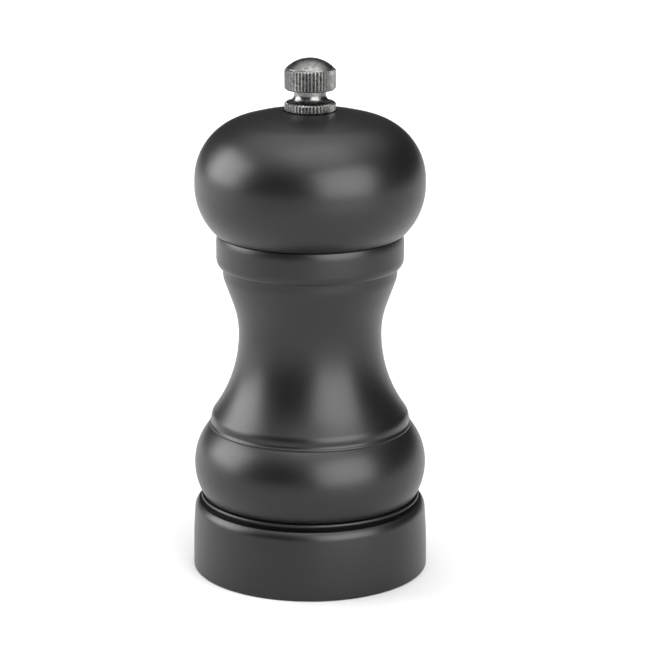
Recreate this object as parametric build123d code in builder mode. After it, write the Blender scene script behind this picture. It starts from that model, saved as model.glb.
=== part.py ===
from build123d import *
import os
from math import atan2, cos, degrees, radians, sin, sqrt, tan

# Wooden pepper mill, 127 mm tall: a turned head that drives a conical steel grinder in a turned body.
# Millimetres, +Z up, origin at the centre of the foot. Every turned piece shares the Z axis.

os.makedirs("parts", exist_ok=True)

# Body, outside: foot band, thin ridge, bead, thin ridge, waist and collar.
foot_r = 29.0
foot_edge = 0.5
band_straight = 4.5
band_taper_r = 128.0
band_taper_angle = 4.7
shoulder_r = 3.2
shoulder_angle = 46.0
groove_r = 26.3
ridge_radius = 0.45
ridge_reach = 75.0
lower_ridge_r = 26.55
lower_ridge_z = 18.3
bead_r = 28.55
bead_z = 26.65
bead_lower_curve = 14.8
bead_upper_curve = 14.5
bead_lower_angle = 33.0
bead_upper_angle = 40.0
upper_ridge_r = 24.4
upper_ridge_z = 36.6
step_r = 24.4
step_top = 38.1
step_curve = 3.2
waist_r = 17.5
waist_z = 59.55
throat_curve = 22.6
throat_angle = 20.0
under_collar_r = 21.3
under_collar_curve = 6.0
collar_r = 22.87
collar_bottom = 76.65
collar_lower_curve = 3.0
collar_lower_angle = 38.0
collar_lower_rise = 2.0
collar_taper_r = 6.0
collar_taper_angle = 17.0
collar_edge = 0.7
seam_z = 84.8

# Body, inside: foot recess, grinder bore, pepper chamber and spigot socket.
recess_r = 20.6
recess_depth = 8.0
grinder_bore_r = 14.6
grinder_bore_top = 30.5
chamber_r = 13.0
socket_r = 15.6
socket_depth = 11.0

# Head: bun shape with a spigot below and a flat seat for the nut on top.
head_r = 28.0
head_lower_curve = 16.1
head_lower_z = 96.5
head_upper_curve = 15.1
head_upper_z = 98.0
head_top = 114.95
head_rim_edge = 0.9
spigot_r = 15.3
spigot_length = 9.4
shaft_hole_r = 3.9
nut_seat_r = 6.4
nut_seat_z = 114.1

# Knurled nut on top, and the washer under it.
washer_r = 5.5
washer_hole_r = 2.9
washer_thickness = 0.5
nut_r = 6.2
nut_edge = 0.35
flange_height = 2.2
neck_r = 3.85
cove_r = 1.9
band_bottom = 5.3
band_height = 5.0
dome_height = 2.5
knurl_teeth = 44
knurl_depth = 0.4
nut_bore_depth = 8.8

# Drive shaft: square bar with an M5 thread on top and an M3 hole at the foot.
shaft_side = 5.0
shaft_corner = 0.4
shaft_bottom = 7.2
square_top = 112.4
thread_r = 2.5
thread_top = 121.5
thread_clearance = 0.05
shaft_tap_r = 1.5
shaft_tap_depth = 8.0

# Drive plate under the head, with three pan-head wood screws.
drive_plate_r = 12.0
drive_plate_thickness = 1.2
drive_plate_square = 5.2
drive_screw_circle = 8.6
drive_screw_count = 3
drive_screw_shank_r = 1.1
drive_screw_head_r = 2.2
drive_screw_head_height = 1.3
drive_screw_length = 8.0

# Retaining plate in the foot recess, with two pan-head wood screws.
plate_r = 20.0
plate_thickness = 1.2
plate_hole_r = 11.5
plate_screw_circle = 17.4
plate_screw_shank_r = 1.25
plate_screw_clear_r = 1.5
plate_screw_head_r = 2.4
plate_screw_head_height = 1.6
plate_screw_length = 12.0

# Stator: fixed burr with two notches for the bridge legs.
stator_r = 14.2
stator_height = 11.0
stator_fine_height = 3.0
stator_bottom_bore = 11.0
stator_throat_bore = 9.7
stator_mouth_bore = 11.6
stator_mouth_height = 4.0
stator_groove_r = 1.0
stator_grooves = 14

# Rotor: turning burr on the shaft.
rotor_bottom_r = 10.85
rotor_waist_r = 9.2
rotor_top_r = 6.0
rotor_height = 11.6
rotor_fine_height = 3.8
rotor_square = 5.1
rotor_groove_r = 1.3
rotor_grooves = 9
burr_skew = 24.0

# Washer and M3 screw that hold the rotor on the shaft.
rotor_washer_r = 4.5
rotor_washer_thickness = 0.8
rotor_screw_head_r = 2.9
rotor_screw_head_height = 1.8
rotor_screw_length = 6.0

# Bridge: bent strap that guides the shaft above the stator.
bridge_half_length = 13.9
bridge_width = 8.0
bridge_thickness = 1.2
bridge_top = 28.0
bridge_bend = 2.2
bridge_hole_r = 3.4
tab_width = 4.0
tab_reach = 0.5
notch_clearance = 0.05

# Compression spring between the bridge and the rotor, with its seat washer.
seat_washer_r = 5.6
seat_washer_thickness = 0.8
seat_washer_square = 5.2
spring_wire = 0.9
spring_mean_r = 4.9
spring_turns = 4
spring_end_gap = 0.02

# Pan-head screws, as shares of the head's radius or height.
screw_top_share = 0.55
screw_brow_share = 0.9
screw_brow_drop = 0.6
cross_length_share = 1.1
cross_width_share = 0.22
cross_depth_share = 0.5


def pan_screw(shank_r, shank_length, head_r, head_height):
    """Pan-head screw standing on its shank: the head hangs below z = 0 and the shank rises above it."""
    with BuildPart(mode=Mode.PRIVATE) as screw:
        with BuildSketch(Plane.XZ):
            with BuildLine():
                Polyline(
                    (0, -head_height),
                    (head_r * screw_top_share, -head_height),
                    (head_r * screw_brow_share, -head_height * screw_brow_drop),
                    (head_r, 0),
                    (shank_r, 0),
                    (shank_r, shank_length - shank_r),
                    (0, shank_length),
                    close=True,
                )
            make_face()
        revolve(axis=Axis.Z)
        with BuildSketch(Plane.XY.offset(-head_height)):
            Rectangle(head_r * cross_length_share, head_r * cross_width_share)
            Rectangle(head_r * cross_width_share, head_r * cross_length_share)
        extrude(amount=head_height * cross_depth_share, mode=Mode.SUBTRACT)
    return screw.part


def on_circle(radius, angle):
    """Point at an angle, in degrees, on a circle about the origin."""
    return Vector(radius * cos(radians(angle)), radius * sin(radians(angle)))


# Body: one turned piece of beech, bored in four steps.
band_end = Vector(foot_r - band_taper_r, band_straight) + on_circle(band_taper_r, band_taper_angle)
shoulder_centre = band_end - on_circle(shoulder_r, band_taper_angle)
shoulder_end = shoulder_centre + on_circle(shoulder_r, shoulder_angle)
bead_lower_centre = Vector(bead_r - bead_lower_curve, bead_z)
bead_upper_centre = Vector(bead_r - bead_upper_curve, bead_z)
bead_start = bead_lower_centre + on_circle(bead_lower_curve, -bead_lower_angle)
bead_end = bead_upper_centre + on_circle(bead_upper_curve, bead_upper_angle)
lower_ridge_centre = Vector(lower_ridge_r, lower_ridge_z)
lower_ridge_start = lower_ridge_centre + on_circle(ridge_radius, -ridge_reach)
lower_ridge_end = lower_ridge_centre + on_circle(ridge_radius, ridge_reach)
upper_ridge_centre = Vector(upper_ridge_r, upper_ridge_z)
upper_ridge_start = upper_ridge_centre + on_circle(ridge_radius, -ridge_reach)
upper_ridge_end = upper_ridge_centre + on_circle(ridge_radius, ridge_reach)
step_centre = Vector(step_r - step_curve, step_top)
flare_rise = waist_z - step_top
flare_run = step_centre.X - waist_r
flare_curve = (flare_run**2 + flare_rise**2 - step_curve**2) / (2 * (flare_run + step_curve))
flare_angle = degrees(atan2(flare_rise, waist_r + flare_curve - step_centre.X))
throat_end = Vector(waist_r + throat_curve, waist_z) - on_circle(throat_curve, -throat_angle)
taper_end_r = under_collar_r - under_collar_curve * (1 - cos(radians(throat_angle)))
taper_end_z = throat_end.Y + (taper_end_r - throat_end.X) / tan(radians(throat_angle))
rounding_top = taper_end_z + under_collar_curve * sin(radians(throat_angle))
rounding_centre = Vector(under_collar_r - under_collar_curve, rounding_top)
collar_lower_centre = Vector(collar_r - collar_lower_curve, collar_bottom + collar_lower_rise)
collar_edge_reach = on_circle(collar_taper_r - collar_edge, collar_taper_angle)
collar_taper_centre = Vector(collar_r - collar_taper_r, seam_z - collar_edge - collar_edge_reach.Y)
collar_edge_centre = collar_taper_centre + collar_edge_reach
collar_start = collar_lower_centre + on_circle(collar_lower_curve, -collar_lower_angle)
chamber_top = seam_z - socket_depth

with BuildPart() as body:
    with BuildSketch(Plane.XZ):
        with BuildLine():
            Line((recess_r, 0), (foot_r - foot_edge, 0))
            CenterArc((foot_r - foot_edge, foot_edge), foot_edge, -90, 90)
            Line((foot_r, foot_edge), (foot_r, band_straight))
            CenterArc((foot_r - band_taper_r, band_straight), band_taper_r, 0, band_taper_angle)
            CenterArc(shoulder_centre, shoulder_r, band_taper_angle, shoulder_angle - band_taper_angle)
            Polyline(shoulder_end, (groove_r, shoulder_end.Y), lower_ridge_start)
            CenterArc(lower_ridge_centre, ridge_radius, -ridge_reach, 2 * ridge_reach)
            Line(lower_ridge_end, bead_start)
            CenterArc(bead_lower_centre, bead_lower_curve, -bead_lower_angle, bead_lower_angle)
            CenterArc(bead_upper_centre, bead_upper_curve, 0, bead_upper_angle)
            Line(bead_end, upper_ridge_start)
            CenterArc(upper_ridge_centre, ridge_radius, -ridge_reach, 2 * ridge_reach)
            Polyline(upper_ridge_end, (step_r, upper_ridge_end.Y), (step_r, step_top))
            CenterArc(step_centre, step_curve, 0, flare_angle)
            CenterArc((waist_r + flare_curve, waist_z), flare_curve, 180 + flare_angle, -flare_angle)
            CenterArc((waist_r + throat_curve, waist_z), throat_curve, 180, -throat_angle)
            Line(throat_end, (taper_end_r, taper_end_z))
            CenterArc(rounding_centre, under_collar_curve, -throat_angle, throat_angle)
            Polyline((under_collar_r, rounding_top), (under_collar_r, collar_bottom), collar_start)
            CenterArc(collar_lower_centre, collar_lower_curve, -collar_lower_angle, collar_lower_angle)
            Line((collar_r, collar_lower_centre.Y), (collar_r, collar_taper_centre.Y))
            CenterArc(collar_taper_centre, collar_taper_r, 0, collar_taper_angle)
            CenterArc(collar_edge_centre, collar_edge, collar_taper_angle, 90 - collar_taper_angle)
            Polyline(
                (collar_edge_centre.X, seam_z),
                (socket_r, seam_z),
                (socket_r, chamber_top),
                (chamber_r, chamber_top),
                (chamber_r, grinder_bore_top),
                (grinder_bore_r, grinder_bore_top),
                (grinder_bore_r, recess_depth),
                (recess_r, recess_depth),
                (recess_r, 0),
            )
        make_face()
    revolve(axis=Axis.Z)
    with BuildSketch(Plane.XY.offset(recess_depth)):
        with PolarLocations(plate_screw_circle, 2, start_angle=90):
            Circle(plate_screw_shank_r)
    extrude(amount=plate_screw_length, mode=Mode.SUBTRACT)

body.part.label = "body"
export_step(body.part, "parts/body.step")

# Head: one turned piece, whose crown arc meets the shoulder arc and the axis squarely.
crown_drop = head_top - head_upper_z
shoulder_offset = head_r - head_upper_curve
crown_square = shoulder_offset**2 + crown_drop**2 - head_upper_curve**2
crown_curve = crown_square / (2 * (crown_drop - head_upper_curve))
crown_centre_z = head_top - crown_curve
crown_angle = degrees(atan2(head_upper_z - crown_centre_z, shoulder_offset))
rim_r = head_r - head_lower_curve + sqrt(head_lower_curve**2 - (head_lower_z - seam_z - head_rim_edge) ** 2)
rim_angle = degrees(atan2(head_lower_z - seam_z - head_rim_edge, rim_r - head_r + head_lower_curve))
seat_angle = degrees(atan2(sqrt(crown_curve**2 - nut_seat_r**2), nut_seat_r))
seat_rim_z = crown_centre_z + sqrt(crown_curve**2 - nut_seat_r**2)
spigot_z = seam_z - spigot_length

with BuildPart() as head:
    with BuildSketch(Plane.XZ):
        with BuildLine():
            Polyline(
                (nut_seat_r, seat_rim_z),
                (nut_seat_r, nut_seat_z),
                (shaft_hole_r, nut_seat_z),
                (shaft_hole_r, spigot_z),
                (spigot_r, spigot_z),
                (spigot_r, seam_z),
                (rim_r - head_rim_edge, seam_z),
                (rim_r, seam_z + head_rim_edge),
            )
            CenterArc((head_r - head_lower_curve, head_lower_z), head_lower_curve, -rim_angle, rim_angle)
            Line((head_r, head_lower_z), (head_r, head_upper_z))
            CenterArc((shoulder_offset, head_upper_z), head_upper_curve, 0, crown_angle)
            CenterArc((0, crown_centre_z), crown_curve, crown_angle, seat_angle - crown_angle)
        make_face()
    revolve(axis=Axis.Z)
    with BuildSketch(Plane.XY.offset(spigot_z)):
        with PolarLocations(drive_screw_circle, drive_screw_count):
            Circle(drive_screw_shank_r)
    extrude(amount=drive_screw_length, mode=Mode.SUBTRACT)

head.part.label = "head"
export_step(head.part, "parts/head.step")

# Nut washer: thin black fibre ring that keeps the nut off the lacquer.
with BuildPart() as nut_washer:
    with BuildSketch(Plane.XY.offset(nut_seat_z)):
        Circle(washer_r)
        Circle(washer_hole_r, mode=Mode.SUBTRACT)
    extrude(amount=washer_thickness)

nut_washer.part.label = "nut_washer"
export_step(nut_washer.part, "parts/nut_washer.step")

# Finial nut: flange, coved neck and domed grip turned from one bar, then straight knurled.
nut_z = nut_seat_z + washer_thickness
grip_bottom = nut_z + band_bottom
grip_top = grip_bottom + band_height
dome_rim_r = nut_r - nut_edge
dome_curve = (dome_rim_r**2 + dome_height**2) / (2 * dome_height)
dome_angle = degrees(atan2(dome_curve - dome_height, dome_rim_r))
cove_top = nut_z + flange_height + cove_r

with BuildPart() as finial_nut:
    with BuildSketch(Plane.XZ):
        with BuildLine():
            Polyline(
                (0, nut_z + nut_bore_depth),
                (thread_r + thread_clearance, nut_z + nut_bore_depth),
                (thread_r + thread_clearance, nut_z),
                (nut_r - nut_edge, nut_z),
                (nut_r, nut_z + nut_edge),
                (nut_r, nut_z + flange_height - nut_edge),
                (neck_r + cove_r, nut_z + flange_height),
            )
            CenterArc((neck_r + cove_r, cove_top), cove_r, -90, -90)
            Polyline(
                (neck_r, cove_top),
                (neck_r, grip_bottom),
                (nut_r - nut_edge, grip_bottom),
                (nut_r, grip_bottom + nut_edge),
                (nut_r, grip_top - nut_edge),
                (dome_rim_r, grip_top),
            )
            CenterArc((0, grip_top + dome_height - dome_curve), dome_curve, dome_angle, 90 - dome_angle)
            Line((0, grip_top + dome_height), (0, nut_z + nut_bore_depth))
        make_face()
    revolve(axis=Axis.Z)
    with BuildSketch(Plane.XY.offset(nut_z)):
        with BuildLine():
            half_tooth = 180 / knurl_teeth
            Polyline(
                *[
                    on_circle(nut_r - knurl_depth * (corner % 2), corner * half_tooth)
                    for corner in range(2 * knurl_teeth)
                ],
                close=True,
            )
        make_face()
    extrude(amount=band_bottom + band_height + dome_height, mode=Mode.INTERSECT)

finial_nut.part.label = "finial_nut"
export_step(finial_nut.part, "parts/finial_nut.step")

# Drive shaft: square steel bar, threaded on top, tapped at the foot.
with BuildPart() as drive_shaft:
    with BuildSketch(Plane.XY.offset(shaft_bottom)):
        Rectangle(shaft_side, shaft_side)
    extrude(amount=square_top - shaft_bottom)
    chamfer(drive_shaft.edges().filter_by(Axis.Z), shaft_corner)
    with BuildSketch(Plane.XY.offset(square_top)):
        Circle(thread_r)
    extrude(amount=thread_top - square_top)
    chamfer(drive_shaft.edges().filter_by(GeomType.CIRCLE).sort_by(Axis.Z)[-1], shaft_corner)
    with BuildSketch(Plane.XY.offset(shaft_bottom)):
        Circle(shaft_tap_r)
    extrude(amount=shaft_tap_depth, mode=Mode.SUBTRACT)

drive_shaft.part.label = "drive_shaft"
export_step(drive_shaft.part, "parts/drive_shaft.step")

# Head drive plate: pressed steel disc whose square hole turns the shaft.
drive_plate_z = spigot_z - drive_plate_thickness

with BuildPart() as head_drive_plate:
    with BuildSketch(Plane.XY.offset(drive_plate_z)):
        Circle(drive_plate_r)
        Rectangle(drive_plate_square, drive_plate_square, mode=Mode.SUBTRACT)
        with PolarLocations(drive_screw_circle, drive_screw_count):
            Circle(drive_screw_shank_r, mode=Mode.SUBTRACT)
    extrude(amount=drive_plate_thickness)

head_drive_plate.part.label = "head_drive_plate"
export_step(head_drive_plate.part, "parts/head_drive_plate.step")

# Drive plate screws: three, driven up into the spigot.
with BuildPart() as drive_plate_screws:
    drive_screw = pan_screw(
        drive_screw_shank_r,
        drive_plate_thickness + drive_screw_length,
        drive_screw_head_r,
        drive_screw_head_height,
    )
    with Locations(Plane.XY.offset(drive_plate_z)):
        with PolarLocations(drive_screw_circle, drive_screw_count):
            add(drive_screw)

drive_plate_screws.part.label = "drive_plate_screws"
export_step(drive_plate_screws.part, "parts/drive_plate_screws.step")

# Retaining plate: pressed steel disc that carries the stator and the bridge.
plate_z = recess_depth - plate_thickness
leg_centre = bridge_half_length - bridge_thickness / 2

with BuildPart() as retaining_plate:
    with BuildSketch(Plane.XY.offset(plate_z)):
        Circle(plate_r)
        Circle(plate_hole_r, mode=Mode.SUBTRACT)
        with PolarLocations(plate_screw_circle, 2, start_angle=90):
            Circle(plate_screw_clear_r, mode=Mode.SUBTRACT)
        with Locations((-leg_centre, 0), (leg_centre, 0)):
            Rectangle(
                bridge_thickness + 2 * notch_clearance,
                tab_width + 2 * notch_clearance,
                mode=Mode.SUBTRACT,
            )
    extrude(amount=plate_thickness)

retaining_plate.part.label = "retaining_plate"
export_step(retaining_plate.part, "parts/retaining_plate.step")

# Retaining screws: two, driven up through the plate into the body.
with BuildPart() as retaining_screws:
    plate_screw = pan_screw(
        plate_screw_shank_r,
        plate_thickness + plate_screw_length,
        plate_screw_head_r,
        plate_screw_head_height,
    )
    with Locations(Plane.XY.offset(plate_z)):
        with PolarLocations(plate_screw_circle, 2, start_angle=90):
            add(plate_screw)

retaining_screws.part.label = "retaining_screws"
export_step(retaining_screws.part, "parts/retaining_screws.step")

# Stator: toothed steel ring, wider at the foot for the fine teeth and at the mouth for whole corns.
stator_z = recess_depth
stator_top = stator_z + stator_height
leg_inner = bridge_half_length - bridge_thickness - notch_clearance

with BuildPart() as stator:
    with BuildSketch(Plane.XZ):
        with BuildLine():
            Polyline(
                (stator_r, stator_z),
                (stator_r, stator_top),
                (stator_mouth_bore, stator_top),
                (stator_throat_bore, stator_top - stator_mouth_height),
                (stator_throat_bore, stator_z + stator_fine_height),
                (stator_bottom_bore, stator_z),
                close=True,
            )
        make_face()
    revolve(axis=Axis.Z)
    with BuildSketch(Plane.XY.offset(stator_z)):
        with Locations((-leg_inner - stator_r, 0), (leg_inner + stator_r, 0)):
            Rectangle(2 * stator_r, bridge_width + 2 * notch_clearance)
    extrude(amount=stator_height, mode=Mode.SUBTRACT)
    with Locations(Plane.XY.offset(stator_top)):
        with PolarLocations(stator_throat_bore, stator_grooves):
            Cylinder(stator_groove_r, stator_height, rotation=(burr_skew, 0, 0), mode=Mode.SUBTRACT)

stator.part.label = "stator"
export_step(stator.part, "parts/stator.step")

# Rotor: conical steel burr with a square hole, coarse spiral grooves above and a fine cone below.
rotor_z = shaft_bottom
rotor_top = rotor_z + rotor_height
rotor_slope = degrees(atan2(rotor_waist_r - rotor_top_r, rotor_height - rotor_fine_height))

with BuildPart() as rotor:
    with BuildSketch(Plane.XZ):
        with BuildLine():
            Polyline(
                (0, rotor_z),
                (rotor_bottom_r, rotor_z),
                (rotor_waist_r, rotor_z + rotor_fine_height),
                (rotor_top_r, rotor_top),
                (0, rotor_top),
                close=True,
            )
        make_face()
    revolve(axis=Axis.Z)
    with BuildSketch(Plane.XY.offset(rotor_z)):
        Rectangle(rotor_square, rotor_square)
    extrude(amount=rotor_height, mode=Mode.SUBTRACT)
    with Locations(Plane.XY.offset(rotor_top - rotor_groove_r)):
        with PolarLocations(rotor_top_r + rotor_groove_r, rotor_grooves):
            Cylinder(
                rotor_groove_r, rotor_height, rotation=(-burr_skew, -rotor_slope, 0), mode=Mode.SUBTRACT
            )

rotor.part.label = "rotor"
export_step(rotor.part, "parts/rotor.step")

# Rotor washer: steel ring clamped to the shaft's foot, on which the rotor rests.
rotor_washer_z = shaft_bottom - rotor_washer_thickness

with BuildPart() as rotor_washer:
    with BuildSketch(Plane.XY.offset(rotor_washer_z)):
        Circle(rotor_washer_r)
        Circle(shaft_tap_r, mode=Mode.SUBTRACT)
    extrude(amount=rotor_washer_thickness)

rotor_washer.part.label = "rotor_washer"
export_step(rotor_washer.part, "parts/rotor_washer.step")

# Rotor screw: M3 pan head up into the shaft.
with BuildPart() as rotor_screw:
    with Locations(Plane.XY.offset(rotor_washer_z)):
        add(
            pan_screw(
                shaft_tap_r,
                rotor_washer_thickness + rotor_screw_length,
                rotor_screw_head_r,
                rotor_screw_head_height,
            )
        )

rotor_screw.part.label = "rotor_screw"
export_step(rotor_screw.part, "parts/rotor_screw.step")

# Bridge: steel strap bent over the stator, its two tabs staked through the retaining plate.
with BuildPart() as bridge:
    with BuildSketch(Plane.XZ.offset(-bridge_width / 2)):
        with BuildLine():
            FilletPolyline(
                (-bridge_half_length, stator_z),
                (-bridge_half_length, bridge_top),
                (bridge_half_length, bridge_top),
                (bridge_half_length, stator_z),
                radius=bridge_bend,
            )
            Line((bridge_half_length, stator_z), (bridge_half_length - bridge_thickness, stator_z))
            FilletPolyline(
                (bridge_half_length - bridge_thickness, stator_z),
                (bridge_half_length - bridge_thickness, bridge_top - bridge_thickness),
                (bridge_thickness - bridge_half_length, bridge_top - bridge_thickness),
                (bridge_thickness - bridge_half_length, stator_z),
                radius=bridge_bend - bridge_thickness,
            )
            Line((bridge_thickness - bridge_half_length, stator_z), (-bridge_half_length, stator_z))
        make_face()
    extrude(amount=bridge_width)
    with BuildSketch(Plane.XY.offset(plate_z - tab_reach)):
        with Locations((-leg_centre, 0), (leg_centre, 0)):
            Rectangle(bridge_thickness, tab_width)
    extrude(amount=plate_thickness + tab_reach)
    with BuildSketch(Plane.XY.offset(bridge_top - bridge_thickness)):
        Circle(bridge_hole_r)
    extrude(amount=bridge_thickness, mode=Mode.SUBTRACT)

bridge.part.label = "bridge"
export_step(bridge.part, "parts/bridge.step")

# Spring seat washer: turns with the shaft against the underside of the bridge.
seat_washer_z = bridge_top - bridge_thickness - seat_washer_thickness

with BuildPart() as spring_seat_washer:
    with BuildSketch(Plane.XY.offset(seat_washer_z)):
        Circle(seat_washer_r)
        Rectangle(seat_washer_square, seat_washer_square, mode=Mode.SUBTRACT)
    extrude(amount=seat_washer_thickness)

spring_seat_washer.part.label = "spring_seat_washer"
export_step(spring_seat_washer.part, "parts/spring_seat_washer.step")

# Grind spring: pushes the rotor down, away from the stator.
spring_height = seat_washer_z - rotor_top - spring_wire - 2 * spring_end_gap

with BuildPart() as grind_spring:
    with BuildLine() as spring_path:
        Helix(
            pitch=spring_height / spring_turns,
            height=spring_height,
            radius=spring_mean_r,
            center=(0, 0, rotor_top + spring_wire / 2 + spring_end_gap),
        )
    with BuildSketch(Plane(origin=spring_path.wire() @ 0, z_dir=spring_path.wire() % 0)):
        Circle(spring_wire / 2)
    sweep(path=spring_path.wire(), is_frenet=True)

grind_spring.part.label = "grind_spring"
export_step(grind_spring.part, "parts/grind_spring.step")
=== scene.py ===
import bmesh
import bpy
import numpy as np
from math import cos, degrees, radians, sin, tan
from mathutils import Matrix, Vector


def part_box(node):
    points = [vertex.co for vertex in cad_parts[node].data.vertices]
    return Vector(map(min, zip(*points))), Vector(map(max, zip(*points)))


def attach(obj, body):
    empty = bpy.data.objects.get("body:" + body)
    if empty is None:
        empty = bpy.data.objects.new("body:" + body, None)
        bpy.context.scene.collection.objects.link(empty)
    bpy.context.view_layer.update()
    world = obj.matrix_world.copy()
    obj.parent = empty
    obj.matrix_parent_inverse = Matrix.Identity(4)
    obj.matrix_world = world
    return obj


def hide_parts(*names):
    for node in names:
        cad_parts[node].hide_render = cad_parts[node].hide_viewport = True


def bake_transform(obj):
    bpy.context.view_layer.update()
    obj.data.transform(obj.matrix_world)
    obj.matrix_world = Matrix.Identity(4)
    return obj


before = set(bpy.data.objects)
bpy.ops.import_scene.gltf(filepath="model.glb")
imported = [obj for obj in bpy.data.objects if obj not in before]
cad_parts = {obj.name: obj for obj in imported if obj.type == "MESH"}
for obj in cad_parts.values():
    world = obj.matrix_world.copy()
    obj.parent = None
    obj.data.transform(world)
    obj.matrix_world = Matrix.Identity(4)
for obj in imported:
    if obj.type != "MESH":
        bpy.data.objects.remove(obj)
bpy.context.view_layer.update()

# Camera. A long lens 0.7 m away, looking down a little, so that the turned rings open into shallow
# ellipses. A small sideways shift leaves the mill left of the middle.
camera_lens_mm = 155.3
camera_sensor_mm = 36.0
camera_distance = 0.686
camera_elevation = radians(15.18)
camera_aim_height = 0.0614
camera_shift = 0.0214

camera = bpy.data.objects.new("camera", bpy.data.cameras.new("camera"))
bpy.context.scene.collection.objects.link(camera)
camera.data.lens = camera_lens_mm
camera.data.sensor_width = camera_sensor_mm
camera.data.shift_x = camera_shift
camera.data.clip_start = 0.01
camera_back = Vector((0, -cos(camera_elevation), sin(camera_elevation)))
camera.location = Vector((0, 0, camera_aim_height)) + camera_back * camera_distance
camera.rotation_euler = camera_back.to_track_quat("Z", "Y").to_euler()
bpy.context.scene.camera = camera

# Studio. A white table in a dim room with a pale ceiling, a broad soft box low on the left, one in
# front on the right and one overhead. The gaps between them give the black lacquer its dark bands.
floor_half = 4.0
paper_white = 0.6
wall_glow = 0.08
ceiling_glow = 2.0
ceiling_starts = 0.5
floor_mesh = bpy.data.meshes.new("floor")
floor_corners = [(-1, -1), (1, -1), (1, 1), (-1, 1)]
floor_mesh.from_pydata([(x * floor_half, y * floor_half, 0) for x, y in floor_corners], [], [(0, 1, 2, 3)])
floor = bpy.data.objects.new("floor", floor_mesh)
bpy.context.scene.collection.objects.link(floor)

paper = bpy.data.materials.new("white_paper")
paper.use_nodes = True
paper_shader = paper.node_tree.nodes["Principled BSDF"]
paper_shader.inputs["Base Color"].default_value = (paper_white, paper_white, paper_white, 1)
paper_shader.inputs["Roughness"].default_value = 0.9
paper_shader.inputs["Specular IOR Level"].default_value = 0.0
paper_grain = paper.node_tree.nodes.new("ShaderNodeTexNoise")
paper_grain.inputs["Scale"].default_value = 900
paper_bump = paper.node_tree.nodes.new("ShaderNodeBump")
paper_bump.inputs["Strength"].default_value = 0.02
paper_place = paper.node_tree.nodes.new("ShaderNodeTexCoord")
paper.node_tree.links.new(paper_place.outputs["Object"], paper_grain.inputs["Vector"])
paper.node_tree.links.new(paper_grain.outputs["Fac"], paper_bump.inputs["Height"])
paper.node_tree.links.new(paper_bump.outputs["Normal"], paper_shader.inputs["Normal"])
floor_mesh.materials.append(paper)

room = bpy.data.worlds.new("room")
room.use_nodes = True
room_way = room.node_tree.nodes.new("ShaderNodeTexCoord")
room_height = room.node_tree.nodes.new("ShaderNodeSeparateXYZ")
room_glow = room.node_tree.nodes.new("ShaderNodeMapRange")
room_glow.interpolation_type = "SMOOTHSTEP"
room_glow.inputs["From Min"].default_value = ceiling_starts
room_glow.inputs["To Min"].default_value = wall_glow
room_glow.inputs["To Max"].default_value = ceiling_glow
room_back = room.node_tree.nodes["Background"]
room.node_tree.links.new(room_way.outputs["Generated"], room_height.inputs["Vector"])
room.node_tree.links.new(room_height.outputs["Z"], room_glow.inputs["Value"])
room.node_tree.links.new(room_glow.outputs["Result"], room_back.inputs["Strength"])
room_back.inputs["Color"].default_value = (1, 1, 1, 1)
bpy.context.scene.world = room
bpy.context.scene.view_settings.view_transform = "Standard"

# name, azimuth and elevation in degrees seen from the mill (0 is the camera's side, 90 its right),
# width and height in degrees as the mill sees them, brightness against white paper
soft_boxes = [
    ("left_box", -98, 22, 44, 38, 6.8),
    ("right_box", 37, 22, 55, 45, 5.6),
    ("top_box", 20, 76, 46, 40, 1.6),
]
box_distance = 1.0
for box_name, azimuth, elevation, box_width, box_height, brightness in soft_boxes:
    light = bpy.data.objects.new(box_name, bpy.data.lights.new(box_name, "AREA"))
    bpy.context.scene.collection.objects.link(light)
    light.data.shape = "RECTANGLE"
    light.data.size = 2 * box_distance * tan(radians(box_width / 2))
    light.data.size_y = 2 * box_distance * tan(radians(box_height / 2))
    light.data.energy = brightness * np.pi * light.data.size * light.data.size_y
    across = radians(azimuth)
    up = radians(elevation)
    towards = Vector((sin(across) * cos(up), -cos(across) * cos(up), sin(up)))
    light.location = Vector((0, 0, camera_aim_height)) + towards * box_distance
    light.rotation_euler = towards.to_track_quat("Z", "Y").to_euler()

# A lamp above the table's far side keeps the paper white behind the mill. It leaves no highlight.
far_lamp = bpy.data.objects.new("far_lamp", bpy.data.lights.new("far_lamp", "AREA"))
bpy.context.scene.collection.objects.link(far_lamp)
far_lamp.data.size = 1.2
far_lamp.data.energy = 13
far_lamp.location = (0, 1.1, 1.0)
far_lamp.visible_glossy = False


# Body. One piece of beech turned to a foot band, a round bead, a waist and a collar, bored from
# both ends, then sprayed with satin black lacquer outside. The bores stay bare.
def arc(centre_r, centre_z, radius, start, stop):
    """Points on a circle about (centre_r, centre_z) from one angle to another, in degrees, some 3
    degrees apart."""
    turn = np.radians(np.linspace(start, stop, max(3, int(abs(stop - start) / 3) + 2)))
    return np.stack([centre_r + radius * np.cos(turn), centre_z + radius * np.sin(turn)], 1)


def eased(*corners):
    """Straight runs from corner to corner, each corner (r, z, radius) replaced by six points of a parabola
    that touches both runs at the radius's distance from the corner. A radius of 0 keeps it sharp."""
    spots = np.array(corners, float)
    flat = spots[:, :2]
    pull = np.linspace(0, 1, 6)[:, None]
    runs = [flat[:1]]
    for before, corner, after, radius in zip(flat, flat[1:], flat[2:], spots[1:, 2]):
        start = corner + (before - corner) / np.linalg.norm(before - corner) * radius
        stop = corner + (after - corner) / np.linalg.norm(after - corner) * radius
        runs.append((1 - pull) ** 2 * start + 2 * pull * (1 - pull) * corner + pull**2 * stop)
    return np.vstack(runs + [flat[-1:]])


lathe_rounds = 240


def turned(outline, rounds=lathe_rounds):
    """Grid of an outline of (r, z) points swept once round the Z axis: each row is one point's circle."""
    turn = np.linspace(0, 2 * np.pi, rounds + 1)
    r, z = outline[:, :1], outline[:, 1:]
    return np.stack([r * np.cos(turn), r * np.sin(turn), z + 0 * turn], 2)


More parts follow.
